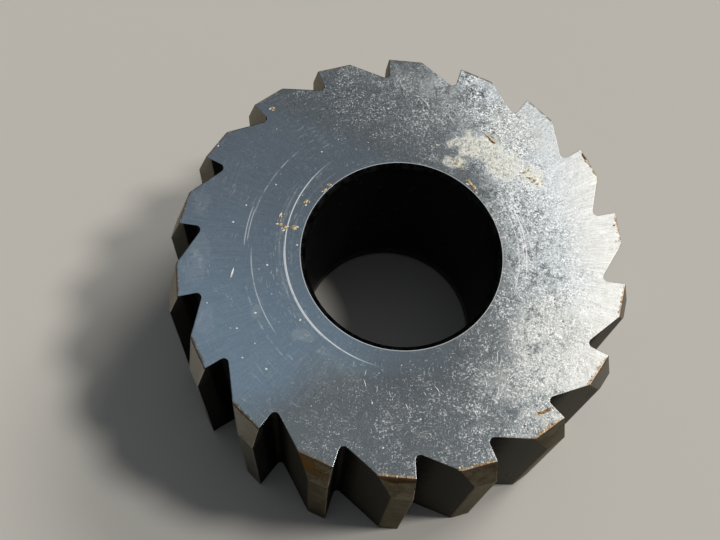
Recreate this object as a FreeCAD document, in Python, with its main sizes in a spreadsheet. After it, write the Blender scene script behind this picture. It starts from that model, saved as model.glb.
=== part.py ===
# Bottom bracket reamer: a hardened ring with straight relieved teeth and a tapered lead.
# The origin is at the centre of the back face, which it rests on, and +Z points to the lead face.
# Tooth tips lie at whole multiples of the tooth pitch from +X. Sizes are millimetres and degrees.
import FreeCAD, Part
import math
import os
import Sketcher

from FreeCAD import Placement, Rotation, Vector

SIZES = (
    # The turned ring
    ("outer_diameter", 42.0),    # across the cutting tips, behind the lead
    ("bore_diameter", 17.0),
    ("thickness", 21.0),
    ("bore_chamfer", 0.4),       # at 45 degrees, at both ends of the bore
    ("grinding_stock", 0.5),     # left on the blank's radius, and ground away on the lands
    # The milled gullets
    ("tooth_count", 18),
    ("gullet_depth", 3.3),       # from the tip to where rake face and heel face would meet
    ("gullet_angle", 65.5),      # between the radial rake face and the heel face
    ("root_radius", 0.4),
    # The ground lands
    ("land_relief", 7.0),        # how far each flat land falls away behind its tip
    ("lead_length", 3.6),        # along the axis
    ("lead_angle", 17.0),        # between the lead flat and the axis
    # Room that each cutter has beyond the surface it leaves through
    ("cut_overrun", 1.0),
)

# Sketcher's numbers for the origin, the horizontal axis and the points of a line or circle
ORIGIN_POINT = (-1, 1)
H_AXIS = -1
START = 1
END = 2
CENTRE = 3

TIP_RADIUS = "Sizes.outer_diameter / 2"
BLANK_RADIUS = "(Sizes.outer_diameter / 2 + Sizes.grinding_stock)"
CLEAR_RADIUS = "(Sizes.outer_diameter / 2 + Sizes.grinding_stock + Sizes.cut_overrun)"


def add_sheet(doc):
    sheet = doc.addObject("Spreadsheet::Sheet", "Sizes")
    for row, (alias, value) in enumerate(SIZES, start=1):
        sheet.set(f"A{row}", alias)
        sheet.set(f"B{row}", str(value))
        sheet.setAlias(f"B{row}", alias)
    doc.recompute()
    return sheet


def origin_feature(body, role):
    return next(item for item in body.Origin.OriginFeatures if item.Role == role)


def add_sketch(body, name, plane):
    sketch = body.newObject("Sketcher::SketchObject", name)
    sketch.AttachmentSupport = [(origin_feature(body, plane), "")]
    sketch.MapMode = "FlatFace"
    return sketch


def add_rule(sketch, kind, *where):
    sketch.addConstraint(Sketcher.Constraint(kind, *where))


def add_size(sketch, name, kind, *where, expression):
    """Adds a named dimension to a sketch and binds it to the sheet."""
    value = float(sketch.evalExpression(expression))
    if kind == "Angle":
        value = math.radians(value)
    index = sketch.addConstraint(Sketcher.Constraint(kind, *where, value))
    sketch.renameConstraint(index, name)
    sketch.setExpression(f"Constraints.{name}", expression)


def add_blank(body):
    """The turned ring, with grinding stock on its outside."""
    sketch = add_sketch(body, "BlankSection", "XY_Plane")
    for name, radius in (("Outside", BLANK_RADIUS), ("Bore", "Sizes.bore_diameter / 2")):
        start = Part.Circle(Vector(), Vector(0, 0, 1), float(sketch.evalExpression(radius)))
        circle = sketch.addGeometry(start)
        add_rule(sketch, "Coincident", circle, CENTRE, *ORIGIN_POINT)
        add_size(sketch, f"{name}Radius", "Radius", circle, expression=radius)
    blank = body.newObject("PartDesign::Pad", "Blank")
    blank.Profile = sketch
    blank.setExpression("Length", "Sizes.thickness")
    return blank


def add_bore_chamfers(body, sheet, blank):
    """A chamfer at each end of the bore."""
    rims = []
    for number, edge in enumerate(blank.Shape.Edges, start=1):
        round_edge = isinstance(edge.Curve, Part.Circle)
        if round_edge and math.isclose(edge.Curve.Radius, sheet.bore_diameter / 2):
            rims.append(f"Edge{number}")
    chamfers = body.newObject("PartDesign::Chamfer", "BoreChamfers")
    chamfers.Base = (blank, rims)
    chamfers.setExpression("Size", "Sizes.bore_chamfer")
    return chamfers


def add_gullet(body, sheet):
    """One milled gullet: a radial rake face on +X, a rounded root and the heel of the tooth before it."""
    tip = sheet.outer_diameter / 2
    clear = tip + sheet.grinding_stock + sheet.cut_overrun
    opening = math.radians(sheet.gullet_angle)
    up_heel = Vector(math.cos(opening), math.sin(opening), 0)
    sharp_root = Vector(tip - sheet.gullet_depth, 0, 0)
    root_reach = sheet.root_radius / math.tan(opening / 2)
    rake_foot = sharp_root + Vector(root_reach, 0, 0)
    root_centre = rake_foot + Vector(0, sheet.root_radius, 0)
    rake_end = Vector(clear, 0, 0)
    heel_end = sharp_root + up_heel * (clear - sharp_root.x)
    root_circle = Part.Circle(root_centre, Vector(0, 0, 1), sheet.root_radius)

    sketch = add_sketch(body, "GulletSection", "XY_Plane")
    rake = sketch.addGeometry(Part.LineSegment(rake_foot, rake_end))
    mouth = sketch.addGeometry(Part.LineSegment(rake_end, heel_end))
    heel = sketch.addGeometry(Part.LineSegment(heel_end, sharp_root + up_heel * root_reach))
    root = sketch.addGeometry(Part.ArcOfCircle(root_circle, opening + math.pi / 2, math.pi * 1.5))
    corner = sketch.addGeometry(Part.Point(sharp_root), True)
    add_rule(sketch, "Coincident", rake, END, mouth, START)
    add_rule(sketch, "Coincident", mouth, END, heel, START)
    add_rule(sketch, "Tangent", heel, END, root, START)
    add_rule(sketch, "Tangent", root, END, rake, START)
    add_rule(sketch, "Horizontal", rake)
    add_rule(sketch, "PointOnObject", rake, END, H_AXIS)
    add_rule(sketch, "PointOnObject", corner, START, H_AXIS)
    add_rule(sketch, "PointOnObject", corner, START, heel)
    add_size(sketch, "RootRadius", "Radius", root, expression="Sizes.root_radius")
    add_size(sketch, "CornerDistance", "DistanceX", *ORIGIN_POINT, corner, START,
             expression=f"{TIP_RADIUS} - Sizes.gullet_depth")
    add_size(sketch, "GulletAngle", "Angle", rake, START, heel, END, expression="Sizes.gullet_angle")
    add_size(sketch, "RakeEnd", "DistanceX", *ORIGIN_POINT, rake, END, expression=CLEAR_RADIUS)
    add_size(sketch, "HeelEnd", "Distance", *ORIGIN_POINT, heel, START, expression=CLEAR_RADIUS)

    gullet = body.newObject("PartDesign::Pocket", "Gullet")
    gullet.Profile = sketch
    gullet.Type = "ThroughAll"
    gullet.Reversed = True
    return gullet


def add_land(body, sheet):
    """One tooth's ground land and lead: two flats that meet the rake face along the cutting edge.

    Their section lies in a plane through the axis, turned by the relief angle to stand square to the land.
    """
    land_distance = f"{TIP_RADIUS} * cos(Sizes.land_relief * 1 deg)"
    sketch = add_sketch(body, "LandSection", "XZ_Plane")
    sketch.AttachmentOffset = Placement(Vector(), Rotation(Vector(0, 1, 0), -sheet.land_relief))
    sketch.setExpression(".AttachmentOffset.Rotation.Angle", "-Sizes.land_relief")

    near = float(sketch.evalExpression(land_distance))
    far = float(sketch.evalExpression(CLEAR_RADIUS))
    below = -sheet.cut_overrun
    above = sheet.thickness + sheet.cut_overrun
    crease = sheet.thickness - sheet.lead_length
    lead_top = near - (above - crease) * math.tan(math.radians(sheet.lead_angle))
    corners = [(near, below), (far, below), (far, above), (lead_top, above), (near, crease)]
    foot, outer_wall, cap, lead, land = range(len(corners))
    for begin, finish in zip(corners, corners[1:] + corners[:1]):
        sketch.addGeometry(Part.LineSegment(Vector(*begin), Vector(*finish)))
    for line in (foot, outer_wall, cap, lead, land):
        add_rule(sketch, "Coincident", line, END, (line + 1) % len(corners), START)
    for line in (foot, cap):
        add_rule(sketch, "Horizontal", line)
    for line in (outer_wall, land):
        add_rule(sketch, "Vertical", line)
    add_size(sketch, "LandDistance", "DistanceX", *ORIGIN_POINT, land, START, expression=land_distance)
    add_size(sketch, "OuterWall", "DistanceX", *ORIGIN_POINT, outer_wall, START,
             expression=CLEAR_RADIUS)
    add_size(sketch, "FootDepth", "DistanceY", foot, START, *ORIGIN_POINT,
             expression="Sizes.cut_overrun")
    add_size(sketch, "CapHeight", "DistanceY", *ORIGIN_POINT, cap, START,
             expression="Sizes.thickness + Sizes.cut_overrun")
    add_size(sketch, "CreaseHeight", "DistanceY", *ORIGIN_POINT, land, START,
             expression="Sizes.thickness - Sizes.lead_length")
    add_size(sketch, "LeadAngle", "Angle", lead, END, land, START,
             expression="180 - Sizes.lead_angle")

    ground = body.newObject("PartDesign::Pocket", "Land")
    ground.Profile = sketch
    ground.SideType = "Symmetric"
    ground.setExpression("Length", "Sizes.outer_diameter * sin(180 deg / Sizes.tooth_count)")
    return ground


def add_teeth(body, cuts):
    """Every tooth, from the one gullet and the one land."""
    teeth = body.newObject("PartDesign::PolarPattern", "Teeth")
    teeth.Originals = cuts
    teeth.Axis = (origin_feature(body, "Z_Axis"), [""])
    teeth.Angle = 360
    teeth.setExpression("Occurrences", "Sizes.tooth_count")
    body.Tip = teeth
    return teeth


def build_ring(doc, sheet):
    body = doc.addObject("PartDesign::Body", "ReamerRing")
    body.Label = "reamer_ring"
    body.Placement = Placement(Vector(0, 0, 0), Rotation())
    blank = add_blank(body)
    doc.recompute()
    chamfers = add_bore_chamfers(body, sheet, blank)
    doc.recompute()
    gullet = add_gullet(body, sheet)
    doc.recompute()
    land = add_land(body, sheet)
    doc.recompute()
    teeth = add_teeth(body, [gullet, land])
    doc.recompute()
    stages = (blank, chamfers, gullet, land, teeth)
    for before, after in zip(stages, stages[1:]):
        if after.Shape.Volume >= before.Shape.Volume:
            raise RuntimeError(f"{after.Label} cuts nothing")
    return body


def check(doc, bodies):
    for item in doc.Objects:
        if "Invalid" in item.State or "Error" in item.State:
            raise RuntimeError(f"{item.Label} failed: {item.State}")
    for body in bodies:
        if body.Shape.isNull() or not body.Shape.isValid():
            raise RuntimeError(f"{body.Label} has no valid shape")


def main():
    doc = FreeCAD.newDocument("BottomBracketReamer")
    sheet = add_sheet(doc)
    bodies = [build_ring(doc, sheet)]
    check(doc, bodies)
    os.makedirs("parts", exist_ok=True)
    for body in bodies:
        body.Shape.exportStep(f"parts/{body.Label}.step")
        box = body.Shape.BoundBox
        print(f"{body.Label}: {len(body.Shape.Faces)} faces, {body.Shape.Volume:.1f} mm3,"
              f" {box.XLength:.2f} x {box.YLength:.2f} x {box.ZLength:.2f} mm")


main()
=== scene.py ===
# Looks of a bottom bracket reamer: a ground and worn steel ring with 18 relieved teeth.
# Shapes are worked out in millimetres, and turned into metres when a mesh is made.
import math
import bpy
import numpy as np
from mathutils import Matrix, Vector


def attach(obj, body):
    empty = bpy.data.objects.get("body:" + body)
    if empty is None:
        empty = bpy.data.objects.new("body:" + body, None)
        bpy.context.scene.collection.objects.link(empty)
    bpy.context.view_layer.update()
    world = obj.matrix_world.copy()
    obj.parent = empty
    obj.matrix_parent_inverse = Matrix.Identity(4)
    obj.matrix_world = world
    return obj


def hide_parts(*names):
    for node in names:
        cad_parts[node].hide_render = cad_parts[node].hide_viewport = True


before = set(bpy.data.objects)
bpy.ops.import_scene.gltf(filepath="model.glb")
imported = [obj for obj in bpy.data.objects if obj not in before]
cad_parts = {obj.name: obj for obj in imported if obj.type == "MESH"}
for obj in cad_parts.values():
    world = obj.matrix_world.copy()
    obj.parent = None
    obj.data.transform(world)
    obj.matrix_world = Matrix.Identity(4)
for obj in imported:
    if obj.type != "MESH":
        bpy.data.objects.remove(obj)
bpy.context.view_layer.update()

millimetre = 0.001
print("frame loaded:", sorted(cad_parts))


def addObject(name, data):
    thing = bpy.data.objects.new(name, data)
    bpy.context.scene.collection.objects.link(thing)
    return thing


def addMesh(name, points, faces, slots=None):
    # points are in millimetres, and the object stays at the origin
    mesh = bpy.data.meshes.new(name)
    mesh.from_pydata((np.asarray(points) * millimetre).tolist(), [], [list(loop) for loop in faces])
    if slots is not None:
        mesh.polygons.foreach_set("material_index", np.asarray(slots, dtype=np.int32))
    mesh.polygons.foreach_set("use_smooth", np.ones(len(mesh.polygons), dtype=bool))
    mesh.update()
    return addObject(name, mesh)


def addValues(thing, name, values):
    # one number for each point, which a material can read by name
    layer = thing.data.attributes.new(name, "FLOAT", "POINT")
    layer.data.foreach_set("value", np.asarray(values, dtype=np.float32).ravel())


def smoothNoise(x, y, size, seed):
    # value noise from -1 to 1: random heights on a square lattice, blended with an S curve
    lattice = np.random.default_rng(seed).uniform(-1, 1, (256, 256))
    u, v = np.asarray(x) / size + 1000, np.asarray(y) / size + 1000
    i, j = np.floor(u).astype(int), np.floor(v).astype(int)
    s, t = u - i, v - j
    s, t = s * s * (3 - 2 * s), t * t * (3 - 2 * t)
    i0, i1, j0, j1 = i % 256, (i + 1) % 256, j % 256, (j + 1) % 256
    low = lattice[i0, j0] * (1 - s) + lattice[i1, j0] * s
    high = lattice[i0, j1] * (1 - s) + lattice[i1, j1] * s
    return low * (1 - t) + high * t


def direction(degrees):
    angle = np.radians(degrees)
    return np.stack([np.cos(angle), np.sin(angle)], axis=-1)


def flatVector(degrees):
    return (*direction(degrees).tolist(), 0)


def roundCorner(corner, arriving, leaving, radius, steps):
    # an arc tangent to both sides: its centre lies a radius from them, and its normal turns evenly
    turn = (leaving - arriving + 180) % 360 - 180
    side = math.copysign(1, turn)
    reach = radius * math.tan(math.radians(abs(turn)) / 2)
    start = corner - direction(arriving) * reach
    centre = start - direction(arriving - 90) * radius * side
    normals = direction(arriving - 90 + turn * np.linspace(0, 1, steps))
    points = centre[..., None, :] + normals * radius * side
    return points, np.broadcast_to(normals, points.shape)


def straightRun(start, end, heading, steps):
    # even steps between two points, without the points themselves
    share = (np.arange(steps) + 1) / (steps + 1)
    points = start[..., None, :] * (1 - share)[:, None] + end[..., None, :] * share[:, None]
    return points, np.broadcast_to(direction(heading - 90), points.shape)


ring = {
    "teeth": 18, "tip": 21.0, "thickness": 21.0, "bore": 8.5, "boreChamfer": 0.4,
    "gulletDepth": 3.3, "gulletAngle": 65.5, "rootRound": 0.4, "relief": 7.0,
    "leadLength": 3.6, "leadAngle": 17.0,
    "tipRound": 0.05, "kneeRound": 0.35, "edgeRound": 0.045,    # edges that handling and use have softened
    "innerZone": 17.2,      # up to this radius the face is a plain disc, and beyond it follows the teeth
    "faceStep": 0.155,      # between rows on the face that shows
    "backStep": 0.7,
    "leave": 0.8, "arrive": 0.35,    # how far a face column keeps its heading at each end, in shares of it
    "wornFrom": 0.12, "wornOver": 0.08, "boreMargin": 0.3,     # dents fade out below the face and inwards
    "creaseGap": 0.08,      # between the crease and the rows beside it
}
farAway = 9.0     # stands for every distance that has no effect
pitch = 360 / ring["teeth"]
columnKinds = ["tip"] * 3 + ["rake"] * 2 + ["root"] * 6 + ["heel"] * 11 + ["knee"] * 4 + ["land"] * 10


def flatDistance(z):
    # the land lies a fixed distance from the axis, and the lead leans in from the crease up
    land = ring["tip"] * math.cos(math.radians(ring["relief"]))
    above = np.maximum(np.asarray(z) - (ring["thickness"] - ring["leadLength"]), 0)
    return land - above * math.tan(math.radians(ring["leadAngle"]))


def toothOutline(z):
    # one pitch at each height in z, counter-clockwise from a cutting edge: rake face, root, heel, knee, land
    flat = flatDistance(z)
    heelHeading, landHeading, rakeHeading = ring["gulletAngle"], 90 + pitch - ring["relief"], 180
    tipReach = flat / math.cos(math.radians(ring["relief"]))
    tip = tipReach[:, None] * direction(0)
    nextTip = tipReach[:, None] * direction(pitch)
    root = np.array([ring["tip"] - ring["gulletDepth"], 0])
    landNormal = direction(pitch - ring["relief"])
    climb = (flat - root @ landNormal) / (direction(heelHeading) @ landNormal)
    knee = root + climb[:, None] * direction(heelHeading)
    tipArc = roundCorner(tip, landHeading - pitch, rakeHeading, ring["tipRound"], 3)
    nextArc = roundCorner(nextTip, landHeading, rakeHeading + pitch, ring["tipRound"], 3)
    rootArc = roundCorner(np.broadcast_to(root, tip.shape), rakeHeading, heelHeading, ring["rootRound"], 6)
    kneeArc = roundCorner(knee, heelHeading, landHeading, ring["kneeRound"], 4)
    rake = straightRun(tipArc[0][:, -1], rootArc[0][:, 0], rakeHeading, 2)
    heel = straightRun(rootArc[0][:, -1], kneeArc[0][:, 0], heelHeading, 11)
    land = straightRun(kneeArc[0][:, -1], nextArc[0][:, 0], landHeading, 10)
    parts = (tipArc, rake, rootArc, heel, kneeArc, land)
    return [np.concatenate([part[k] for part in parts], axis=1) for k in (0, 1)]


def allTeeth(pitchPoints):
    # the one pitch turned round the axis for every tooth
    turned = []
    for number in range(ring["teeth"]):
        c, s = direction(pitch * number)
        turned.append(pitchPoints @ np.array([[c, s], [-s, c]]))
    return np.concatenate(turned, axis=1)


def withHeight(flat, heights):
    levels = np.broadcast_to(np.reshape(heights, (-1, 1, 1)), flat.shape[:2] + (1,))
    return np.concatenate([flat, levels], axis=2)


def spokesAround(columns):
    # the root's first column lies straight out from the axis, as the rake face does
    return direction((np.arange(columns) - columnKinds.index("root")) * 360 / columns)


def evenOut(vectors, reach):
    # the mean of each column and its neighbours round the closed outline
    return sum(np.roll(vectors, shift, axis=0) for shift in range(-reach, reach + 1)) / (2 * reach + 1)


def faceRows(z, step, toothRows, edgePoints, edgeNormals):
    # plain circles to the inner zone, then curves that leave it radially and meet the outline nearly square
    inner = ring["bore"] + ring["boreChamfer"] + ring["edgeRound"]
    spokes = spokesAround(len(edgePoints))
    count = max(2, int(round((ring["innerZone"] - inner) / step)))
    radii = np.linspace(inner, ring["innerZone"], count + 1)
    circles = radii[:, None, None] * spokes
    start = circles[-1]
    gap = np.linalg.norm(edgePoints - start, axis=1)[:, None]
    t = ((np.arange(toothRows - 1) + 1) / toothRows)[:, None, None]
    leave, arrive = spokes * gap * ring["leave"], evenOut(edgeNormals, 6) * gap * ring["arrive"]
    curves = ((2 * t**3 - 3 * t**2 + 1) * start + (t**3 - 2 * t**2 + t) * leave
              + (3 * t**2 - 2 * t**3) * edgePoints + (t**3 - t**2) * arrive)
    return withHeight(np.concatenate([circles, curves]), z)


def ringPoints():
    # the section runs up the bore, out over the face that shows, down the teeth and back in under the ring
    top, soft = ring["thickness"], ring["edgeRound"]
    crease = top - ring["leadLength"]
    arc = np.radians([0, 30, 60, 90])
    inset, drop = soft * (1 - np.sin(arc)), soft * (1 - np.cos(arc))
    lead = np.linspace(top - soft, crease + ring["creaseGap"], 8)[1:]
    land = np.linspace(crease - ring["creaseGap"], soft, 14)[:-1]
    heights = np.concatenate([top - drop, lead, [crease], land, drop[::-1]])
    insets = np.concatenate([inset, np.zeros(len(lead) + 1 + len(land)), inset[::-1]])
    outline, normals = [allTeeth(part) for part in toothOutline(heights)]
    sides = withHeight(outline - normals * insets[:, None, None], heights)
    upper = faceRows(top, ring["faceStep"], 13, sides[0, :, :2], normals[0])
    lower = faceRows(0, ring["backStep"], 5, sides[-1, :, :2], normals[-1])[::-1]

    chamfer, narrow = ring["boreChamfer"], ring["bore"]
    corners = [(narrow + chamfer, 0), (narrow, chamfer), (narrow, top - chamfer), (narrow + chamfer, top)]
    arcs = [roundCorner(np.array(corner), arriving, arriving - 45, soft * 1.4, 3)[0]
            for corner, arriving in zip(corners, (180, 135, 90, 45))]
    wallHeights = np.linspace(chamfer, top - chamfer, 15)[1:-1]
    wall = np.stack([np.full(len(wallHeights), narrow), wallHeights], axis=1)
    profile = np.concatenate([*arcs[:2], wall, *arcs[2:]])[1:-1]
    bore = withHeight(profile[:, None, :1] * spokesAround(sides.shape[1]), profile[:, 1])
    rows = [bore, upper, sides[1:-1], lower]
    wallReach = top / 2 - chamfer - soft
    boreKinds = ["chamfer" if abs(height - top / 2) > wallReach else "bore" for height in profile[:, 1]]
    kinds = boreKinds + ["face"] * len(upper) + ["side"] * (len(sides) - 2) + ["back"] * len(lower)
    return np.concatenate(rows), kinds


faceDents = [    # x, y, radius, depth in millimetres: knocks and pits that the face shows
    (13.75, -2.35, 0.24, 0.05), (14.6, -4.3, 0.2, 0.02), (6.75, 12.55, 0.2, 0.05), (7.1, 12.3, 0.2, 0.05),
    (3, 14.9, 0.3, 0.012), (9.1, 13.4, 0.3, 0.012), (12, 3.6, 0.3, 0.01), (8.9, -12.2, 0.3, 0.012),
]
faceWaves = {
    "slow": (3.1, 11), "slowHeight": 0.003,     # size and seed, then height in millimetres
    "fine": (0.42, 12), "fineHeight": 0.0045,
    "frostedFrom": -6, "frostedOver": 14,     # where the fine roughness starts, and how wide it grows in
}


def wornHeight(x, y):
    # slow waviness, a frosted roughness that grows to the right, and a round dent for each listed place
    waves = faceWaves
    frosted = np.clip((x - waves["frostedFrom"]) / waves["frostedOver"], 0, 1)
    height = waves["slowHeight"] * smoothNoise(x, y, *waves["slow"])
    height = height + frosted * waves["fineHeight"] * smoothNoise(x, y, *waves["fine"])
    for dx, dy, radius, depth in faceDents:
        height = height - depth * np.exp(-((x - dx)**2 + (y - dy)**2) / radius**2)
    return height


def edgeDistances(points, kinds):
    # how far each point lies from the border of the face that shows and from the nearest cutting edge,
    # and 1 for the columns that end at a land
    border = points[kinds.index("side")]
    fromBorder = np.full(points.shape[:2], farAway)
    for row, kind in enumerate(kinds):
        if kind == "face":
            fromBorder[row] = np.linalg.norm(points[row] - border, axis=1)
        elif kind == "side":
            fromBorder[row] = ring["thickness"] - points[row, :, 2]
    columns, width = points.shape[1], len(columnKinds)
    tip = (np.round(np.arange(columns) / width) * width).astype(int) % columns + 1
    sideRows = np.array([kind == "side" for kind in kinds])
    flat = points[sideRows, :, :2]
    fromTip = np.full(points.shape[:2], farAway)
    fromTip[sideRows] = np.linalg.norm(flat - flat[:, tip], axis=2)
    onLand = np.array([kind in ("land", "knee") for kind in columnKinds * ring["teeth"]], dtype=float)
    return fromBorder, fromTip, np.broadcast_to(evenOut(onLand, 1), fromTip.shape)


def buildRing():
    # a grid closed both ways: columns go round the teeth and rows go round the section
    points, kinds = ringPoints()
    columns = points.shape[1]
    fromBorder, fromTip, onLand = edgeDistances(points, kinds)
    x, y, z = np.moveaxis(points, 2, 0)
    nearTop = np.clip((z - ring["thickness"] + ring["wornFrom"]) / ring["wornOver"], 0, 1)
    offBore = np.hypot(x, y) > ring["bore"] + ring["boreMargin"]
    lowered = z + nearTop * offBore * np.minimum(wornHeight(x, y), 0)
    shaped = np.stack([x, y, lowered], axis=-1).reshape(-1, 3)
    grid = np.arange(x.size).reshape(x.shape)
    under = np.roll(grid, -1, axis=0)
    quads = np.stack([grid, under, np.roll(under, -1, axis=1), np.roll(grid, -1, axis=1)], axis=-1)
    toothKinds = ["tip"] * 2 + ["rake"] + columnKinds[3:]     # a face belongs to the column before it
    toothSlots = [{"rake": 3, "root": 4, "heel": 4}.get(kind, 2) for kind in toothKinds] * ring["teeth"]
    plainSlots = {"face": 0, "back": 1, "bore": 5, "chamfer": 6}
    slots = [toothSlots if kind == "side" else [plainSlots[kind]] * columns for kind in kinds]
    body = addMesh("ringBody", shaped, quads.reshape(-1, 4), np.ravel(slots))
    addValues(body, "fromBorder", np.minimum(fromBorder, farAway))
    addValues(body, "fromTip", fromTip)
    addValues(body, "onLand", onLand)
    even = body.modifiers.new("flatsStayFlat", "WEIGHTED_NORMAL")
    even.mode = "FACE_AREA"
    even.weight = 50
    even.keep_sharp = False
    return body


# Small pieces on the face: flecks of grit and rust, and the raised burrs of scratches.
# A fleck is x, y and half its length, then its width as a share of that and its angle.
flecks = {
    "brassFleck": [
        (-13.49, 12.72, 0.22, 0.6, 20), (-11.2, 2.05, 0.24, 0.55, 80), (-11, 1.2, 0.2, 0.8, 10),
        (-10.55, 0.95, 0.3, 0.6, 30), (-9.76, 0.98, 0.24, 0.8, 0), (-9.05, 3.75, 0.24, 0.6, 60),
        (-7.56, 5.12, 0.24, 0.5, 60), (-7.2, 5.68, 0.2, 0.5, 50), (5.35, 7.75, 0.34, 0.5, -35),
        (5.8, 7.35, 0.24, 0.6, -50), (10.2, 9.6, 0.24, 0.5, 30), (10.6, 9.9, 0.17, 0.6, 70),
        (10.8, 9.1, 0.24, 0.5, 0), (11.24, 8.96, 0.2, 0.6, 20), (11.5, 8.6, 0.16, 0.7, 50),
        (3.9, 9.6, 0.2, 0.6, 20), (4.5, 9.3, 0.16, 0.7, 70), (15.75, 11.6, 0.2, 0.4, -57),
        (13.05, -12.8, 0.16, 0.7, 0), (6.6, 12.75, 0.36, 0.2, -32), (7.15, 12.3, 0.22, 0.4, -40),
    ],
    "rustFleck": [
        (13.15, -12.65, 0.26, 0.5, 20), (13.45, -12.55, 0.3, 0.4, 30), (13.8, -12.3, 0.28, 0.5, 35),
        (7, 12.35, 0.42, 0.22, -30), (13.75, -2.35, 0.12, 0.7, 20), (14.6, -4.3, 0.12, 0.8, 0),
        (15.6, 12, 0.42, 0.22, -57),
    ],
    "paleFleck": [
        (-14.45, -3.98, 0.5, 0.2, 84), (-11.56, -2.8, 0.1, 1, 0), (-10.16, -12.1, 0.12, 0.8, 0),
        (-15.18, 0.81, 0.1, 1, 0), (-11.88, -7.32, 0.14, 0.7, 30), (-7.97, -7.4, 0.1, 1, 0),
        (-14.3, 2.6, 0.08, 1, 0), (-12, 5, 0.09, 0.9, 0), (-9.26, -0.55, 0.1, 0.9, 0),
        (-8.4, 8.9, 0.08, 1, 0), (-13.2, -8.9, 0.09, 1, 0), (-12.3, -11.4, 0.08, 1, 0),
        (-16.1, -7, 0.07, 1, 0), (-0.96, -13.77, 0.14, 0.45, 85), (3.2, -14.6, 0.1, 0.8, 20),
        (0.4, -17.4, 0.09, 1, 0), (2, 11.2, 0.13, 0.7, 0), (0.4, 14.6, 0.12, 0.8, 0),
        (-2.9, 14.3, 0.1, 1, 0), (13.6, -13.1, 0.16, 0.5, -30), (13.2, -2.2, 0.2, 0.7, 40),
        (13.9, -2.7, 0.2, 0.6, 10), (13.5, -2.6, 0.13, 0.8, 0), (14.9, -4.6, 0.13, 0.7, 0),
        (8.6, -13.2, 0.14, 0.6, 60), (9.4, -12.3, 0.12, 0.8, 0),
    ],
}
# Crumbs sit along the top of a land: the tooth's angle, and how many.
edgeCrumbs = [(40, 6), (20, 7), (0, 8), (-20, 12), (-40, 20), (-60, 14), (-80, 6), (160, 3)]
# A scratch is its two ends and half its width.
scratches = [
    (-1.98, -11.74, -1.62, -12.56, 0.035), (-1.8, -10.9, -1.9, -11.6, 0.025),
    (1.79, -13.4, 2.05, -13.9, 0.045), (2.1, -14.1, 2.4, -14.5, 0.03), (4.12, -11.58, 4.6, -12.2, 0.045),
    (3.2, -12.2, 3.5, -12.6, 0.03), (7.39, -13.04, 7.97, -13.82, 0.04), (9.08, -7.69, 9.17, -8.84, 0.04),
    (9.5, -8.2, 9.35, -9.3, 0.03), (8.15, -10.05, 8.52, -11.32, 0.04), (9.63, -10.28, 9.95, -11.12, 0.035),
    (-0.75, -12.1, -0.7, -12.9, 0.03), (0.3, -12.5, 0.5, -13.1, 0.025), (-0.2, 16.2, 1.1, 14.6, 0.035),
    (0.4, 15.7, 0.9, 15, 0.03), (2.4, 14.9, 3.4, 13.6, 0.04), (2.9, 15.2, 3.7, 14.3, 0.03),
    (3.1, 12.9, 4.2, 11.6, 0.035), (6.2, 12.9, 7.5, 12.25, 0.045), (8.4, 8.6, 9.5, 7.2, 0.03),
    (7.7, 9, 8.6, 7.9, 0.03), (6.1, 9.6, 6.9, 8.7, 0.025),
]
# A field has its middle, half width and half height, how many, their usual angle and its scatter.
scratchFields = [
    (2, 13.5, 7.5, 4, 110, -40, 35), (12, 6, 5, 5, 50, -40, 40),
    (13, -6, 5, 6, 60, 80, 40), (2, -13.5, 7.5, 3.5, 70, 95, 40),
    (9, -11, 4, 4, 60, 100, 35), (-13, -2, 4, 9, 8, 95, 25),
]


strewn = {
    "lumps": 450, "seed": 41, "firstShape": 300,     # how many in all, and where their random numbers start
    "crumbSpread": 0.19, "crumbSize": (0.3, 0.65), "crumbKinds": (0, 0, 2, 2, 1),
    "edgeAlong": (-0.9, 2.1), "edgeSize": (0.05, 0.12), "edgeKinds": [0, 0, 1, 2],
    "straySize": (0.03, 0.065), "smoothSide": 0.12, "brassStrays": 0.2, "squash": (0.5, 1),
    "fleckRise": 0.28, "wobble": 0.16, "burrRise": 0.3, "burrBow": 0.04, "burrSeed": 77,
}


def onTheFace(x, y, margin=0.3):
    radius = math.hypot(x, y)
    return ring["bore"] + ring["boreChamfer"] + margin < radius < ring["tip"] - ring["gulletDepth"] - margin


def faceLevel(x, y):
    return ring["thickness"] + min(float(wornHeight(x, y)), 0)


def fleckGrid(x, y, half, share, lie, seed):
    # a flattened lump: an ellipsoid whose outline wobbles with the angle
    random = np.random.default_rng(seed)
    around = np.linspace(0, 2 * np.pi, 11)[:-1]
    sway = strewn["wobble"]
    wobble = 1 + sum(random.uniform(-sway, sway) * np.cos(k * around + random.uniform(0, 6.3))
                     for k in (2, 3, 4))
    rise = np.array([-0.9, -0.35, 0, 0.45, 0.8])[:, None]
    reach = np.sqrt(1 - rise**2) * wobble * half
    c, s = direction(lie)
    px, py = reach * np.cos(around), reach * np.sin(around) * share
    thick = half * strewn["fleckRise"]
    level = faceLevel(x, y)
    rim = np.stack([x + px * c - py * s, y + px * s + py * c, level + rise * thick + 0 * px], axis=-1)
    return rim, [[x, y, level - thick], [x, y, level + thick]]


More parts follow.
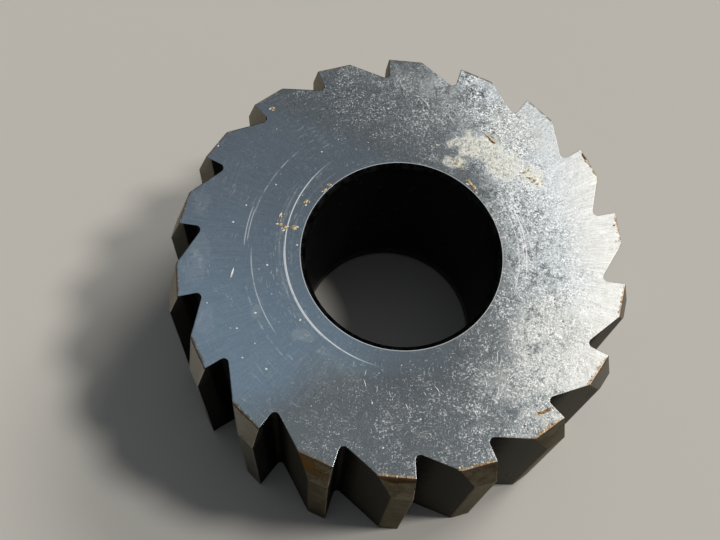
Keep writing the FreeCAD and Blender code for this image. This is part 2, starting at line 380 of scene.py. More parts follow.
def scratchGrid(x0, y0, x1, y1, half):
    # a thin spindle from end to end: its width and height follow half a sine
    along = np.linspace(0, 1, 8)[1:-1]
    around = np.linspace(0, 2 * np.pi, 7)[:-1]
    length = math.hypot(x1 - x0, y1 - y0)
    ux, uy = (x1 - x0) / length, (y1 - y0) / length
    swell = np.sin(np.pi * along)[:, None] * half
    bow = np.sin(np.pi * along)[:, None] * length * strewn["burrBow"]
    across = swell * np.cos(around) + bow
    level = faceLevel((x0 + x1) / 2, (y0 + y1) / 2)
    px = x0 + (x1 - x0) * along[:, None] - uy * across
    py = y0 + (y1 - y0) * along[:, None] + ux * across
    rim = np.stack([px, py, level + strewn["burrRise"] * swell * np.sin(around)], axis=-1)
    return rim, [[x0, y0, level], [x1, y1, level]]


def gatherLumps(name, lumps, slots):
    # every lump is a short grid closed round its middle, with a point at each end
    points, faces, faceSlots, first = [], [], [], 0
    for (rim, ends), slot in zip(lumps, slots):
        count, width = rim.shape[:2]
        grid = np.arange(count * width).reshape(count, width)
        beside, end = np.roll(grid, -1, axis=1), np.full(width, count * width)
        quads = np.stack([grid[:-1], beside[:-1], beside[1:], grid[1:]], axis=-1).reshape(-1, 4)
        bottom = np.stack([beside[0], grid[0], end], axis=1)
        cap = np.stack([grid[-1], beside[-1], end + 1], axis=1)
        for group in (quads, bottom, cap):
            faces += (group + first).tolist()
            faceSlots += [slot] * len(group)
        points.append(np.concatenate([rim.reshape(-1, 3), np.array(ends)]))
        first += count * width + 2
    return addMesh(name, np.concatenate(points), faces, faceSlots)


def buildFlecks():
    # the listed flecks, each brass one among its crumbs, then strays that are rare on the smooth side
    lumps, slots = [], []
    random = np.random.default_rng(strewn["seed"])

    def add(x, y, half, share, lie, slot):
        lumps.append(fleckGrid(x, y, half, share, lie, strewn["firstShape"] + len(lumps)))
        slots.append(slot)

    for slot, places in enumerate(flecks.values()):
        for x, y, half, share, lie in places:
            add(x, y, half, share, lie, slot)
            for kind in (strewn["crumbKinds"] if slot == 0 else ()):
                nearX, nearY = [middle + random.normal() * strewn["crumbSpread"] for middle in (x, y)]
                add(nearX, nearY, half * random.uniform(*strewn["crumbSize"]), share, lie, kind)
    for angle, count in edgeCrumbs:
        for number in range(count):
            along, inward = random.uniform(*strewn["edgeAlong"]), 0.08 + 0.12 * random.exponential()
            flat = (float(flatDistance(ring["thickness"])) - inward) * direction(angle - ring["relief"])
            x, y = flat + along * direction(angle - ring["relief"] + 90)
            add(x, y, random.uniform(*strewn["edgeSize"]), random.uniform(*strewn["squash"]),
                random.uniform(0, 180), int(random.choice(strewn["edgeKinds"])))
    while len(lumps) < strewn["lumps"]:
        x, y = random.uniform(-18, 18, 2)
        half, least = random.uniform(*strewn["straySize"]), strewn["smoothSide"]
        if onTheFace(x, y) and random.uniform() < least + (1 - least) * (x > -3 - 0.4 * y):
            add(x, y, half, random.uniform(*strewn["squash"]), random.uniform(0, 180),
                0 if random.uniform() < strewn["brassStrays"] else 2)
    return gatherLumps("surfaceFlecks", lumps, slots)


def buildScratches():
    lines = list(scratches)
    random = np.random.default_rng(strewn["burrSeed"])
    for mx, my, wide, high, count, usual, scatter in scratchFields:
        for number in range(count):
            x, y = mx + random.uniform(-wide, wide), my + random.uniform(-high, high)
            c, s = direction(usual + random.normal() * scatter)
            reach, half = random.uniform(0.06, 0.3), random.uniform(0.008, 0.018)
            if onTheFace(x, y, 0.6):
                lines.append((x - c * reach, y - s * reach, x + c * reach, y + s * reach, half))
    return gatherLumps("scratchBurrs", [scratchGrid(*line) for line in lines], [0] * len(lines))


# Materials are formulas of Values. A Value is what a node puts out, and its signs add maths nodes.

class Value:
    def __init__(self, socket):
        self.socket = socket

    __add__ = __radd__ = lambda self, other: maths("ADD", self, other)
    __mul__ = __rmul__ = lambda self, other: maths("MULTIPLY", self, other)
    __sub__ = lambda self, other: maths("SUBTRACT", self, other)
    __rsub__ = lambda self, other: maths("SUBTRACT", other, self)
    __truediv__ = lambda self, other: maths("DIVIDE", self, other)


def setInput(socket, value):
    if isinstance(value, Value):
        socket.id_data.links.new(value.socket, socket)
    else:
        socket.default_value = value


def addNode(kind, inputs=None, tree=None, **settings):
    # without a tree, the node joins the first Value that it takes
    if tree is None:
        tree = next(value.socket.id_data for value in inputs.values() if isinstance(value, Value))
    node = tree.nodes.new("ShaderNode" + kind)
    for name, value in settings.items():
        setattr(node, name, value)
    for name, value in (inputs or {}).items():
        setInput(node.inputs[name], value)
    return node


def output(node, name=0):
    return Value(node.outputs[name])


def maths(operation, *values, clamp=False):
    return output(addNode("Math", dict(enumerate(values)), operation=operation, use_clamp=clamp))


def most(*values):
    largest = values[0]
    for value in values[1:]:
        largest = maths("MAXIMUM", largest, value)
    return largest


def vector(operation, *values, scale=None):
    inputs = dict(enumerate(values))
    if scale is not None:
        inputs["Scale"] = scale
    node = addNode("VectorMath", inputs, operation=operation)
    return output(node, "Value" if operation in ("LENGTH", "DOT_PRODUCT") else "Vector")


def combine(x, y, z):
    return output(addNode("CombineXYZ", {"X": x, "Y": y, "Z": z}))


def fade(value, start, end, low=0, high=1):
    # an S curve from low to high as value goes from start to end
    inputs = {"Value": value, "From Min": start, "From Max": end, "To Min": low, "To Max": high}
    return output(addNode("MapRange", inputs, interpolation_type="SMOOTHSTEP"))


def noise(place, scale, detail=2, rough=0.5, twist=0):
    # scale is in features to a millimetre, detail is how many finer layers, and rough is how much they show
    inputs = {"Vector": place, "Scale": scale, "Detail": detail, "Roughness": rough, "Distortion": twist}
    return output(addNode("TexNoise", inputs))


def blend(factor, first, second):
    # a mix of two colours, worked out here if nothing in it changes over the surface
    if not any(isinstance(value, Value) for value in (factor, first, second)):
        return tuple(a + (b - a) * factor for a, b in zip(first, second))
    one, other = [value if isinstance(value, Value) else (*value, 1) for value in (first, second)]
    return output(addNode("Mix", {0: factor, 6: one, 7: other}, data_type="RGBA"), 2)


def paint(colour, tones, *layers):
    # lays named tones over a colour one after another, each through its mask
    for mask, tone in layers:
        colour = blend(mask, colour, tones[tone])
    return colour


def startGroup(name, **takes):
    # what the group takes: a number to start from, or None for a vector
    tree = bpy.data.node_groups.new(name, "ShaderNodeTree")
    for label, start in takes.items():
        kind = "NodeSocketVector" if start is None else "NodeSocketFloat"
        socket = tree.interface.new_socket(label, in_out="INPUT", socket_type=kind)
        if start is not None:
            socket.default_value = start
    node = tree.nodes.new("NodeGroupInput")
    return tree, [output(node, label) for label in takes]


def finishGroup(tree, **gives):
    for label in gives:
        tree.interface.new_socket(label, in_out="OUTPUT", socket_type="NodeSocketFloat")
    node = tree.nodes.new("NodeGroupOutput")
    for label, value in gives.items():
        setInput(node.inputs[label], value)
    return tree


def useGroup(name, **inputs):
    node = addNode("Group", inputs, node_tree=groups[name])
    return {socket.name: Value(socket) for socket in node.outputs}


def makeGrainGroup():
    # lines along the radius: noise that changes fast with direction and slowly with distance from the axis
    # rings: noise that changes fast with distance and slowly with direction
    # dashes: the crests of a noise whose features are longer along the circle than across it
    tree, (spoke, radius, fineness) = startGroup("grindingGrain", Spoke=None, Radius=0, Fineness=100)
    away, out = combine(0, 0, radius * 0.5), combine(0, 0, radius * 9)
    lines = noise(vector("ADD", vector("SCALE", spoke, scale=fineness), away), 1, 1, 0.6, 1.1)
    rings = noise(vector("ADD", spoke, out), 1, 2)
    short = vector("ADD", vector("SCALE", spoke, scale=16), out)
    dashes = fade(noise(short, 1, 2, 0.6), 0.57, 0.70)
    return finishGroup(tree, Lines=lines, Rings=rings, Dashes=dashes)


frosting = {
    # noises: scale, detail and roughness
    "mottle": (0.9, 8, 0.78), "cluster": (0.55, 4, 0.65), "grit": (6.4, 3, 0.85),
    "speck": (6.6, 2, 0.7), "pit": (3.1, 3, 0.7), "stroke": (1, 1, 0.5, 0.3),
    # where each noise starts to show and where it is full
    "cloudFrom": (0.46, 0.68), "specksFrom": (0.82, 0.95), "strokesFrom": (0.955, 1.04),
    "pitsFrom": (0.33, 0.26), "grainFrom": (0.39, 0.67, -0.75, 1.25),
    "strokeAngles": (-42, 24, 97), "strokeShape": (2.4, 10),     # features along and across
}


def makeFrostGroup():
    # a cloud, an even grain, specks, strokes and dark pits: noises cut off at levels that amount lowers
    # the strokes are the crests of three noises, each stretched in its own direction
    tree, (place, amount) = startGroup("frosting", Place=None, Amount=0.5)
    cloud = fade(noise(place, *frosting["mottle"]) + amount * 0.08, *frosting["cloudFrom"])
    density = amount * 0.09 + noise(place, *frosting["cluster"]) * 0.36
    specks = fade(noise(place, *frosting["speck"]) + density, *frosting["specksFrom"])
    strokes = 0
    for number, angle in enumerate(frosting["strokeAngles"]):
        along, across = [vector("DOT_PRODUCT", place, flatVector(angle + turn)) * rate
                         for turn, rate in zip((0, 90), frosting["strokeShape"])]
        crest = noise(combine(along, across, 7 * number), *frosting["stroke"]) + density
        strokes = most(strokes, fade(crest, *frosting["strokesFrom"]))
    pits = fade(noise(place, *frosting["pit"]) - amount * 0.05, *frosting["pitsFrom"]) * amount
    grain = fade(noise(place, *frosting["grit"]), *frosting["grainFrom"])
    return finishGroup(tree, Cloud=cloud, Grain=grain, Specks=specks, Strokes=strokes, Pits=pits)


def makeArcGroup():
    # a bright rubbed line: a bell curve about one radius, cut to a stretch of the circle and broken by noise
    tree, (place, centre, at, width, middle, reach, gaps, strength) = startGroup(
        "rubbedArc", Place=None, Centre=None, At=10, Width=0.1, Middle=None, Reach=0, Gaps=0.3,
        Strength=1)
    flat = vector("MULTIPLY", vector("SUBTRACT", place, centre), (1, 1, 0))
    off = (vector("LENGTH", flat) - at) / width
    bell = maths("EXPONENT", off * off * -1)
    ahead = vector("DOT_PRODUCT", vector("NORMALIZE", flat), middle) - reach
    stretch = fade(ahead / (1 - reach), 0, 0.6)
    broken = fade(noise(place, 1.3, 4, 0.7) - gaps * 0.4, 0.16, 0.4, 0.05, 1)
    return finishGroup(tree, Mask=bell * stretch * broken * strength)


def makePatchGroup():
    # an oval with a ragged border: distance from its middle in shares of its size, pushed about by noise
    tree, (place, middle, size, strength) = startGroup(
        "wornPatch", Place=None, Middle=None, Size=None, Strength=1)
    share = vector("DIVIDE", vector("SUBTRACT", place, middle), size)
    far = vector("LENGTH", share) + (noise(place, 0.9, 7, 0.75) - 0.5) * 3.4
    return finishGroup(tree, Mask=fade(far, 1.05, 0.7) * strength)


def makeRustGroup():
    # rust that clings to an edge: strongest where the distance is small and a noise is high
    tree, (place, distance, reach, amount) = startGroup(
        "edgeRust", Place=None, Distance=1, Reach=0.4, Amount=0.5)
    near = maths("SUBTRACT", 1, distance / reach, clamp=True)
    patchy = noise(place, 1.4, 4, 0.7) + amount * 0.3
    return finishGroup(tree, Mask=fade(near * patchy, 0.3, 0.55))


groups = {"grain": makeGrainGroup(), "frost": makeFrostGroup(), "arc": makeArcGroup(),
          "patch": makePatchGroup(), "rust": makeRustGroup()}
bumpReach = 0.00002     # metres


def startMaterial(name):
    # gives the material, the place in millimetres, the direction from the axis and the distance from it
    material = bpy.data.materials.new(name)
    material.use_nodes = True
    tree = material.node_tree
    tree.nodes.clear()
    addNode("OutputMaterial", {"Surface": output(addNode("BsdfPrincipled", tree=tree))})
    place = vector("MULTIPLY", output(addNode("TexCoord", tree=tree), "Object"), (1 / millimetre,) * 3)
    flat = vector("MULTIPLY", place, (1, 1, 0))
    return material, place, vector("NORMALIZE", flat), vector("LENGTH", flat)


def setShader(material, values):
    shader = material.node_tree.nodes["Principled BSDF"]
    for name, value in values.items():
        setInput(shader.inputs[name], value)


def finish(material, colour, rough, metal, height, bumpDepth, others=None):
    bump = addNode("Bump", {"Strength": bumpDepth, "Distance": bumpReach, "Height": height})
    setShader(material, {"Base Color": colour, "Roughness": rough, "Metallic": metal,
                         "Normal": output(bump), **(others or {})})
    return material


def pointValue(material, name):
    # a number that addValues gave to each point
    return output(addNode("Attribute", tree=material.node_tree, attribute_name=name), "Fac")


def facing(spoke, towards, start, full):
    # an S curve of how nearly a place on the ring faces one direction
    return fade(vector("DOT_PRODUCT", spoke, flatVector(towards)), start, full)


def patchMask(place, middle, size, strength):
    return useGroup("patch", Place=place, Middle=middle, Size=size, Strength=strength)["Mask"]


def facePatch(place, x, y, wide, high, strength):
    # a patch on the face that shows, too high for height to count
    return patchMask(place, (x, y, ring["thickness"]), (wide, high, 50), strength)


face = {
    # steelShaded is the steel under painted shade at the top; silkGlare is a silky polish painted light as
    # the lamp's glare
    "steel": (0.328, 0.425, 0.512), "steelShaded": (0.262, 0.302, 0.342), "worn": (0.242, 0.265, 0.275),
    "frostWarm": (0.65, 0.66, 0.632), "frostCool": (0.64, 0.69, 0.725), "silkGlare": (0.82, 0.82, 0.79),
    "etch": (0.83, 0.82, 0.72), "bright": (0.93, 0.94, 0.94), "pit": (0.07, 0.07, 0.065),
    "rust": (0.4, 0.2, 0.055), "olive": (0.075, 0.066, 0.043), "cream": (0.86, 0.76, 0.52),
    "stain": (0.12, 0.065, 0.03), "rough": 0.28,
}
wearAndShade = {    # each is where it starts and where it is full, in millimetres, then from how much to how much
    "specksUp": (6, 13, 0, 0.87), "specksDown": (0, 14.5, 0, 0.65), "specksRight": (2, 9),
    "specksOut": (10, 14, 0.5, 1), "frost": (7.5, 18.5), "frostOut": (9, 14, 0.8, 1),
    "leanUp": 0.45, "leanDown": 0.1,     # how far height adds to the distance right
    # silkGlare: where the painted glare on the silky right edge grows in. dull: painted shade that greys the
    # steel upwards
    "silkGlare": (13.5, 19), "cooler": (-6, 0), "dull": (-9, 10), "nearBore": (8.6, 17.5, 0.82, 1),
    # top: painted shade at the top of the face
    "top": (9, 16, 1, 0.94),
    "tilt": (-7, 4, 0.05, -0.14), "tiltDown": (-1, -8),     # the lower left is a little lighter
    "grain": (-9, 11, 0.75, 1.5), "lines": 0.34, "dashes": 0.24, "besideArc": (-6, -9, 0, 0.36),
    # boreRimHighlight: a painted highlight along the edge of the bore
    "boreRimHighlight": (9.03, 8.95, 0, 0.7), "rubbed": (0.16, 0.05), "sharp": (0.03, 0.006, 0, 0.85),
    "rustReach": (-2, -11, 0.4, 0.54),
}
faceArcs = {    # centre x and y: radius, width, first and last angle, how broken, strength
    (0.76, 0.48): [
        (11.13, 0.048, 134, 266, 0, 1), (11.22, 0.05, 182, 240, 0.1, 0.75),
        (11.62, 0.12, 150, 240, 0.5, 0.16), (11.95, 0.06, 150, 215, 0.6, 0.14),
    ],
    (0, 0): [
        (13.58, 0.05, 138, 174, 0.5, 0.5), (13.25, 0.045, 184, 224, 0.3, 0.6),
        (13.9, 0.045, 168, 186, 0.2, 0.6), (13.66, 0.04, 169, 184, 0.2, 0.6),
        (13.98, 0.06, 198, 238, 0.8, 0.6), (10.4, 0.05, -18, 36, 0.4, 0.6), (11.1, 0.05, -8, 36, 0.3, 0.8),
        (10.85, 0.045, 0, 42, 0.4, 0.6), (11.5, 0.05, 8, 50, 0.4, 0.5), (9.75, 0.05, 130, 200, 0.5, 0.2),
    ],
}
facePatches = [    # x, y, half width, half height, strength
    (5.4, 11.7, 2.3, 1.5, 1), (8.4, 9.9, 2, 1.9, 1), (3.8, 9.7, 1.1, 0.8, 0.95),
    (10.9, 9.3, 1.5, 1.3, 0.9), (7.3, 11, 1.8, 1.3, 0.9),
]
faceFrost = [    # x, y, half width, half height, strength
    (9, 13.8, 3.8, 3.4, 0.7), (10.3, 0.8, 1.6, 3.4, 0.15), (9.8, -10.4, 2.4, 2, 0.3),
    (13.4, -6.2, 3.6, 4.6, 0.75), (1, 17.3, 2.4, 1.5, 0.35), (-4.6, -11.6, 3.2, 2.2, 0.13),
    (-3.5, 17.8, 6, 1.6, 0.12), (-7.5, -8.7, 1, 0.6, 0.6), (-11.8, -7.2, 0.35, 0.7, 0.5),
    (-5.6, -9.9, 0.9, 0.4, 0.35), (-17.6, -3, 1.2, 2.6, 0.3), (-16, -8.6, 1, 1.6, 0.25),
    (-18.2, 2.2, 0.8, 1.4, 0.25),
]


def faceZones(x, y, radius, broad):
    # S curves across the face, pushed about by a broad noise: specks, frost that whitens the right, silk at
    # the right edge painted lighter as the lamp's glare, how cool the frost is, how dark the face is (darker
    # near the bore, lighter at the lower left, painted shade at the top), and painted shade that greys the
    # steel upwards
    drift = broad * 6 - 3
    lean = most(y * wearAndShade["leanUp"], y * wearAndShade["leanDown"])
    upper = fade(y + x * 0.35 + drift * 0.6, *wearAndShade["specksUp"])
    lower = fade(x - y + drift * 0.9, *wearAndShade["specksDown"]) * fade(radius, *wearAndShade["specksOut"])
    right = fade(x + drift * 0.5, *wearAndShade["specksRight"])
    whitened = fade(x + lean + drift * 0.5, *wearAndShade["frost"]) * fade(radius, *wearAndShade["frostOut"])
    # silk at the right edge, painted lighter as the lamp's glare on it
    silkAndGlare = fade(x + most(y, 0) * 0.2 + drift * 0.25, *wearAndShade["silkGlare"])
    cooler = fade(y + drift * 0.5, *wearAndShade["cooler"])
    tilt = fade(x, *wearAndShade["tilt"]) * fade(y, *wearAndShade["tiltDown"]) * (1 - whitened)
    # darker near the bore and lighter at the lower left, with painted shade at the top
    shade = fade(radius, *wearAndShade["nearBore"]) * (tilt + 1) * fade(y, *wearAndShade["top"])
    # the last value is painted shade that greys the steel towards the top
    return most(upper, lower, right), whitened, silkAndGlare, cooler, shade, fade(y, *wearAndShade["dull"])


def faceTone(place, frost, zones, marked):
    # the steel's own tone under painted shade that greys it upwards, frost that the cloud mottles where it is
    # half grown, silk painted lighter as glare, and the listed dust
    speckled, whitened, silkAndGlare, cooler, shade, shadedUpward = zones
    colour = paint(face["steel"], face, (shadedUpward, "steelShaded"), (fade(speckled, 0, 0.45), "worn"))
    between = whitened * (1 - whitened) * 1.5
    mottled = whitened + between * (frost["Cloud"] - 0.5) * 2.6
    colour = blend(mottled, colour, blend(cooler, face["frostWarm"], face["frostCool"]))
    dusty = 0
    if marked:
        thinned = fade(frost["Cloud"], 0, 0.8, 0.25, 1)
        dusty = most(0, *[facePatch(place, *spot) * thinned for spot in faceFrost])
    colour = paint(colour, face, (silkAndGlare, "silkGlare"), (dusty, "frostWarm"))
    return colour, between, most(mottled, dusty)


def faceGrain(place, y, grain, frost, zones, between):
    # a factor for the tone: the even grain, stronger in patches and upwards, and lines along the radius
    speckled, whitened, silkAndGlare = zones[:3]
    strength = 0.062 + speckled * 0.16 + between * 1.2 - whitened * 0.06 - silkAndGlare * 0.12
    patchy = fade(noise(place, 0.8, 2), 0.35, 0.65, 0.6, 1.4)
    streaks = (grain["Lines"] - 0.5) * (wearAndShade["lines"] + whitened * 0.12 + silkAndGlare * 0.4)
    return 1 + frost["Grain"] * strength * patchy * fade(y, *wearAndShade["grain"]) + streaks


def faceMarks(place, x, radius, grain, frost, zones, marked):
    # bright marks: specks and strokes, dashes in patches and beside the rubbed arc, and the listed arcs
    speckled, whitened = zones[:2]
    specks = most(frost["Specks"], frost["Strokes"]) * (0.24 + speckled * 0.5 + whitened * 0.2)
    scuffed = fade(noise(place, 0.5, 4, 0.7), 0.44, 0.62, 0, wearAndShade["dashes"])
    if marked:
        fromArc = maths("ABSOLUTE", radius - 11)
        scuffed = most(scuffed, fade(fromArc, 1.3, 0.2) * fade(x, *wearAndShade["besideArc"]))
    bright = most(specks, grain["Dashes"] * scuffed)
    arcs = [(centre, *arc) for centre, group in faceArcs.items() for arc in group]
    for centre, at, width, first, last, gaps, strength in (arcs if marked else []):
        reach = math.cos(math.radians((last - first) / 2))
        mask = useGroup("arc", Place=place, Centre=(*centre, 0), At=at, Width=width, Gaps=gaps,
                        Strength=strength, Middle=flatVector((first + last) / 2), Reach=reach)["Mask"]
        bright = most(bright, mask)
    return bright


def faceRust(place, x, y, away, onLand, marked):
    # rust along the lands: olive at the left and top, brown elsewhere, with cream crusts and dark stains
    reach = fade(y, *wearAndShade["rustReach"]) if marked else 0.4
    rust = useGroup("rust", Place=place, Distance=away, Reach=reach, Amount=0.5)["Mask"]
    crusty = noise(place, 2.6, 3, 0.7)
    browner = fade(x, -8, 4) * fade(y, 15, 8)
    crusts = fade(crusty, 0.54, 0.63) * fade(x, 2, 11, 0.3, 0.85)
    stains = fade(crusty, 0.49, 0.41, 0, 0.9)
    tone = paint(face["olive"], face, (browner, "rust"), (crusts, "cream"), (stains, "stain"))
    return rust * fade(onLand, 0, 1, 0.05, 0.85), tone


def makeFace(name, marked):
    # ground steel: bluish where it is smooth, greyer where specks lie close, paler through frost to silk
    # painted lighter as glare, with painted shade towards the top
    # marked adds what one end of the ring has: wear that grows to the right, rubbed arcs, etched patches
    material, place, spoke, radius = startMaterial(name)
    grain = useGroup("grain", Spoke=spoke, Radius=radius, Fineness=105)
    away, onLand = pointValue(material, "fromBorder"), pointValue(material, "onLand")
    parts = addNode("SeparateXYZ", {0: place})
    x, y = output(parts, "X"), output(parts, "Y")
    broad = noise(place, 0.35, 3, 0.6)
    if marked:
        zones = faceZones(x, y, radius, broad)
    else:
        evenly = fade(broad, 0.35, 0.75, 0.1, 0.6)
        zones = (evenly, evenly * 0.2, 0, 0.5, 1, 0.5)
    speckled, silkAndGlare, shade = zones[0], zones[2], zones[4]
    frost = useGroup("frost", Place=place, Amount=speckled)
    colour, between, dull = faceTone(place, frost, zones, marked)
    tone = faceGrain(place, y, grain, frost, zones, between)
    colour = vector("SCALE", colour, scale=tone * shade)
    etched = 0
    if marked:
        thinned = fade(noise(place, 3.6, 5, 0.85), 0.39, 0.56, 0.1, 1)
        etched = most(0, *[facePatch(place, *spot) for spot in facePatches]) * thinned
    rubbed = (fade(away, *wearAndShade["rubbed"]) * fade(onLand, 0, 1, 0.12, 0.7)
              * fade(noise(place, 2.2, 3, 0.7), 0.42, 0.6, 0, 0.8))
    # the bore's edge gets a painted highlight in the bright tone
    bright = most(faceMarks(place, x, radius, grain, frost, zones, marked),
                  fade(radius, *wearAndShade["boreRimHighlight"]), rubbed)
    pitted = frost["Pits"] * (0.7 - silkAndGlare * 0.6)
    colour = paint(colour, face, (etched, "etch"), (pitted, "pit"), (bright, "bright"))
    rusty, rustTone = faceRust(place, x, y, away, onLand, marked)
    sharp = fade(away, *wearAndShade["sharp"]) * (1 - onLand)
    colour = paint(blend(rusty, colour, rustTone), face, (sharp, "pit"))
    dull = most(dull, etched, bright, silkAndGlare, rusty)
    height = grain["Lines"] * 0.25 + grain["Rings"] * 0.12 + frost["Cloud"] * speckled * 0.9
    return finish(material, colour, face["rough"] + dull * 0.2, 1 - dull * 0.72, height, 0.35)


tooth = {
    # land is the tone of the stained lands, painted darker also as shade where they face down; landCleanLit
    # is the lands that face the light, painted lighter as lit
    "land": (0.145, 0.132, 0.105), "landDark": (0.08, 0.071, 0.054), "landCleanLit": (0.385, 0.383, 0.367),
    "lip": (0.5, 0.48, 0.42), "scribble": (0.03, 0.025, 0.018), "stain": (0.05, 0.03, 0.016),
    # gulletRootShade is painted shade: the black at the roots of the gullets
    "ochre": (0.15, 0.098, 0.04), "brown": (0.09, 0.05, 0.022), "gulletRootShade": (0.008, 0.008, 0.008),
    # how much a grazing view brightens
    "landSheen": (0.45, 0.42, 0.36, 1), "darkSheen": (0.12, 0.115, 0.10, 1),
    # the direction that the stained lands face, which are also painted darker there as shade, and where that
    # thins out
    "stainShadeFrom": -78, "stainShadeFade": (0.45, 0.95),
}
toothStains = [    # where, half sizes, strength and tone: stains on the leads that the photograph shows
    ((-6.3, -19, 20.1), (1.6, 1.6, 1), 0.8, "brown"), ((-5.2, -19.5, 19.2), (1.8, 1.8, 0.9), 0.7, "brown"),
    ((-6.1, -19.1, 19.9), (1.2, 1.2, 0.7), 0.5, "ochre"), ((2.4, -19.75, 20.8), (2, 1.5, 0.8), 0.85, "stain"),
    ((9.6, -17.4, 20.8), (1.8, 1.8, 0.7), 0.5, "stain"),
]


def makeLand():
    # ground flats: fine lines along the tooth's height, a worn lip at the cutting edge, a painted highlight
    # along the crease, rust below the face that shows, stains in the listed places, thin dark scribbles, and
    # lands that face down stained and painted darker as shade
    material, place, spoke = startMaterial("groundLand")[:3]
    lines = noise(vector("MULTIPLY", place, (9, 9, 0.35)), 1, 3, 0.6)
    broad = noise(place, 0.7, 3, 0.6)
    fromBorder, fromTip = pointValue(material, "fromBorder"), pointValue(material, "fromTip")
    # lands that face down are browner and darker: partly stain, partly painted shade; the rest take the
    # lighter lit tone
    stainedAndShaded = facing(spoke, tooth["stainShadeFrom"], *tooth["stainShadeFade"])
    brown = blend(fade(broad, 0.35, 0.7), tooth["land"], tooth["landDark"])
    colour = blend(stainedAndShaded, tooth["landCleanLit"], brown)
    lip = fade(fromTip, 0.09, 0.03) * fade(noise(place, 1.1, 3), 0.4, 0.62, 0.05, 0.5)
    patchy = fade(noise(place, 0.8, 5, 0.7, 0.5), 0.47, 0.62)
    film = patchy * fade(fromBorder, 4.2, 1.5, 0.1, 0.75) * stainedAndShaded * 0.15
    stains = [(patchMask(place, *spot), tone) for *spot, tone in toothStains]
    wander = maths("ABSOLUTE", noise(place, 0.7, 3, 0.6, 0.8) - 0.5)
    here = fade(noise(place, 0.6, 2), 0.46, 0.56, 0, 0.85)
    scribble = fade(wander, 0.018, 0.005) * here * (0.2 + stainedAndShaded * 0.8)
    # a thin pale line along the crease: a painted highlight where the lead bends from the land
    fromCrease = maths("ABSOLUTE", fromBorder - ring["leadLength"])
    worn = fade(fromCrease, 0.1, 0.02) * fade(broad, 0.4, 0.6, 0.1, 0.5)
    rust = useGroup("rust", Place=place, Distance=fromBorder, Reach=0.7, Amount=0.55)["Mask"]
    ground = fade(lines, 0.5, 0.8) * 0.25
    colour = paint(colour, tooth, (ground, "lip"), (lip, "lip"), (film, "ochre"), *stains,
                   (scribble, "scribble"), (worn, "lip"), (rust, "stain"))
    return finish(material, colour, 0.38 + (lines - 0.5) * 0.3, 1 - rust * 0.7, lines, 0.3,
                  {"Specular Tint": tooth["landSheen"]})


gullets = {
    # shadedTone and litTone are painted shade and painted light, and towards is the direction in which a wall
    # is lit
    # shadeSinks: the radii between which painted shade takes it to black at the root. ragged: how uneven that
    # limit is
    # litDeeper: a direction whose walls stay lit further in, and by how many millimetres
    "rakeFace": {"shadedTone": (0.035, 0.034, 0.032), "litTone": (0.48, 0.445, 0.365),
                 "towards": (120, 0.15, 1.05), "shadeSinks": (19.4, 19.6), "ragged": 0.25,
                 "litDeeper": ((120, 0.7, 1), 1.5), "bump": 0.15},
    "milledGullet": {"shadedTone": (0.07, 0.067, 0.058), "litTone": (0.2, 0.192, 0.165),
                     "towards": (-10, 0.45, 1), "shadeSinks": (17.7, 19), "ragged": 0.8,
                     "litDeeper": ((0, 0.7, 1), 0), "bump": 0.25},
}


def makeGullet(name):
    # milled walls in painted shade: cutter lines along the axis, painted shade that sinks to black towards
    # the root, and painted light on the walls that face the lamps or the lit floor
    look = gullets[name]
    material, place, spoke, radius = startMaterial(name)
    lines = noise(vector("MULTIPLY", place, (5, 5, 0.25)), 1, 3, 0.6)
    uneven = (noise(place, 0.8, 3, 0.6) - 0.5) * look["ragged"]
    litSide, further = look["litDeeper"]
    # painted shade: the wall goes to black towards the root, less deep on walls that face one way
    shade = fade(radius + uneven + facing(spoke, *litSide) * further, *look["shadeSinks"])
    # painted light and shade: walls that face towards take the lit tone, the others the shaded tone
    litAndShaded = blend(facing(spoke, *look["towards"]), look["shadedTone"], look["litTone"])
    colour = blend(shade, tooth["gulletRootShade"], litAndShaded)
    colour = blend(fade(lines, 0.5, 0.75) * shade * 0.3, colour, tooth["landDark"])
    rough = fade(pointValue(material, "fromBorder"), 0.06, 0.046, 0.42 + lines * 0.16, 0.85)
    return finish(material, colour, rough, 0.85, lines, look["bump"],
                  {"Specular Tint": tooth["darkSheen"]})


boreLook = {
    "film": (0.003, 0.0033, 0.0033), "line": (0.035, 0.034, 0.032), "edge": (0.02, 0.021, 0.021),
    "rubbed": (0.145, 0.132, 0.105), "sheen": 0.15,
}


def makeBore():
    # blackened bore: faint rings from the tool, and a few paler rubbed marks
    material, place = startMaterial("blackBore")[:2]
    rings = noise(vector("MULTIPLY", place, (0.15, 0.15, 6)), 1, 3, 0.6)
    turned, specks = fade(rings, 0.5, 0.8) * 0.5, fade(noise(place, 1.7, 2), 0.68, 0.74) * 0.6
    colour = paint(boreLook["film"], boreLook, (turned, "line"), (specks, "rubbed"))
    return finish(material, colour, 0.42 + rings * 0.15, 0.3, rings, 0.2,
                  {"Specular IOR Level": boreLook["sheen"]})


def makeChamfer():
    # the turned edge of the bore: the bore's dark film, worn back to steel in patches
    material, place = startMaterial("boreEdge")[:2]
    mottle = noise(place, 1.6, 4, 0.7)
    colour = blend(fade(mottle, 0.4, 0.6), boreLook["film"], boreLook["edge"])
    return finish(material, colour, fade(mottle, 0.3, 0.7, 0.3, 0.45), 0.9, mottle, 0.1)


def makeFleck(name, first, second, metal):
    # grit: two tones that a fine noise mixes
    material, place = startMaterial(name)[:2]
    mottle = noise(place, 9, 2)
    colour = blend(fade(mottle, 0.4, 0.62), first, second)
    return finish(material, colour, fade(mottle, 0.3, 0.7, 0.35, 0.7), metal, mottle, 0.3)


# Pieces and their finishes.

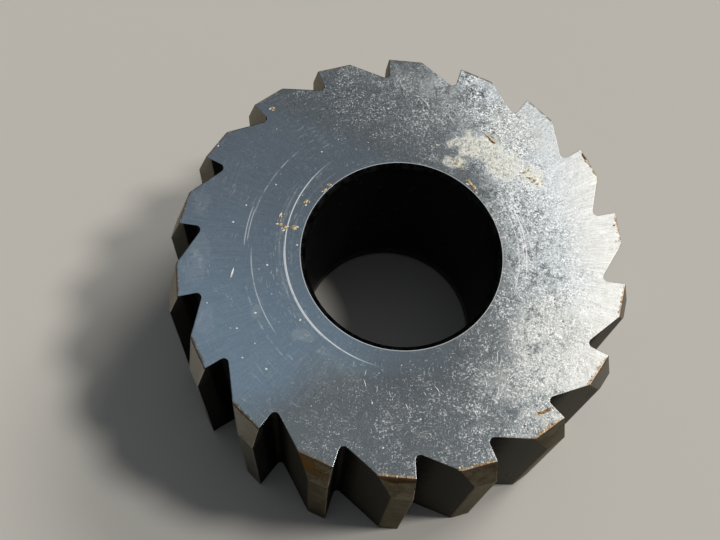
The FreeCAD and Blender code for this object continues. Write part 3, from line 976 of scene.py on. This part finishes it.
body = buildRing()
for material in (makeFace("groundFace", True), makeFace("groundBack", False), makeLand(),
                 makeGullet("rakeFace"), makeGullet("milledGullet"), makeBore(), makeChamfer()):
    body.data.materials.append(material)
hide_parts("reamer_ring")
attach(body, "root")
print("ring:", len(body.data.polygons), "faces")

grit = buildFlecks()
for material in (makeFleck("brassGrit", (0.32, 0.21, 0.07), (0.85, 0.72, 0.42), 0.4),
                 makeFleck("rustGrit", (0.13, 0.05, 0.02), (0.5, 0.25, 0.075), 0),
                 makeFleck("paleGrit", (0.75, 0.74, 0.68), (0.9, 0.9, 0.86), 0.1)):
    grit.data.materials.append(material)
burrs = buildScratches()
burrs.data.materials.append(makeFleck("brightBurr", (0.6, 0.62, 0.63), (0.85, 0.86, 0.86), 0.9))
for piece in (grit, burrs):
    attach(piece, "root")
print("small marks:", len(grit.data.polygons) + len(burrs.data.polygons), "faces")


# A plain pale floor, two soft lamps at the right, a large pale ceiling panel behind the ring, and the camera.

studio = {
    "floorSize": 8, "floor": (0.60, 0.575, 0.53),
    "backdrop": (0.66, 0.645, 0.61),     # what the camera sees beyond the floor
    "sky": (0.86, 0.93, 1), "skyGlow": 0.10, "panelGlow": 0.30,
    # azimuth and elevation, and where its glow starts and is full
    "panelFrom": (108, 76), "panelEdge": (34, 8),
    # azimuth, elevation, spread and strength
    "lamps": [(10, 55, 9, 1.35), (50, 43, 24, 1.35)],
    "lampColour": (1, 0.975, 0.93),
    "lampDistance": 0.5,
    "cameraPlace": (-0.003106, -0.036361, 0.107957), "cameraTurn": (21.3572, -2.624, 7.2749),
    "lens": 53.415, "sensor": 36, "clip": (0.005, 20),
}


def lookTowards(around, up):
    around, up = math.radians(around), math.radians(up)
    return Vector((math.cos(around) * math.cos(up), math.sin(around) * math.cos(up), math.sin(up)))


def addStudio():
    half = studio["floorSize"] / 2
    corners = np.array([[-half, -half, 0], [half, -half, 0], [half, half, 0], [-half, half, 0]])
    floor = addMesh("floor", corners / millimetre, [(0, 1, 2, 3)])
    material = startMaterial("paleFloor")[0]
    setShader(material, {"Base Color": (*studio["floor"], 1), "Roughness": 0.8})
    floor.data.materials.append(material)

    world = bpy.data.worlds.new("studioSky")
    bpy.context.scene.world = world
    world.use_nodes = True
    tree = world.node_tree
    background = tree.nodes["Background"]
    view = output(addNode("TexCoord", tree=tree), "Generated")
    towardsPanel = vector("DOT_PRODUCT", view, tuple(lookTowards(*studio["panelFrom"])))
    start, full = [math.cos(math.radians(angle)) for angle in studio["panelEdge"]]
    glow = fade(towardsPanel, start, full, studio["skyGlow"], studio["skyGlow"] + studio["panelGlow"])
    seen = output(addNode("LightPath", tree=tree), "Is Camera Ray")
    setInput(background.inputs["Color"], blend(seen, studio["sky"], studio["backdrop"]))
    setInput(background.inputs["Strength"], fade(seen, 0, 1, glow, 1))

    for number, (around, up, spread, strength) in enumerate(studio["lamps"]):
        towards = lookTowards(around, up)
        lamp = bpy.data.lights.new(f"window{number}", "SUN")
        lamp.energy = strength
        lamp.angle = math.radians(spread)
        lamp.color = studio["lampColour"]
        source = addObject(f"window{number}", lamp)
        source.location = towards * studio["lampDistance"]
        source.rotation_euler = towards.to_track_quat("Z", "Y").to_euler()

    lens = bpy.data.cameras.new("camera")
    lens.lens = studio["lens"]
    lens.sensor_width = studio["sensor"]
    lens.clip_start, lens.clip_end = studio["clip"]
    camera = addObject("camera", lens)
    camera.location = studio["cameraPlace"]
    camera.rotation_euler = [math.radians(angle) for angle in studio["cameraTurn"]]
    bpy.context.scene.camera = camera
    bpy.context.scene.view_settings.view_transform = "Standard"


addStudio()
print("studio ready")
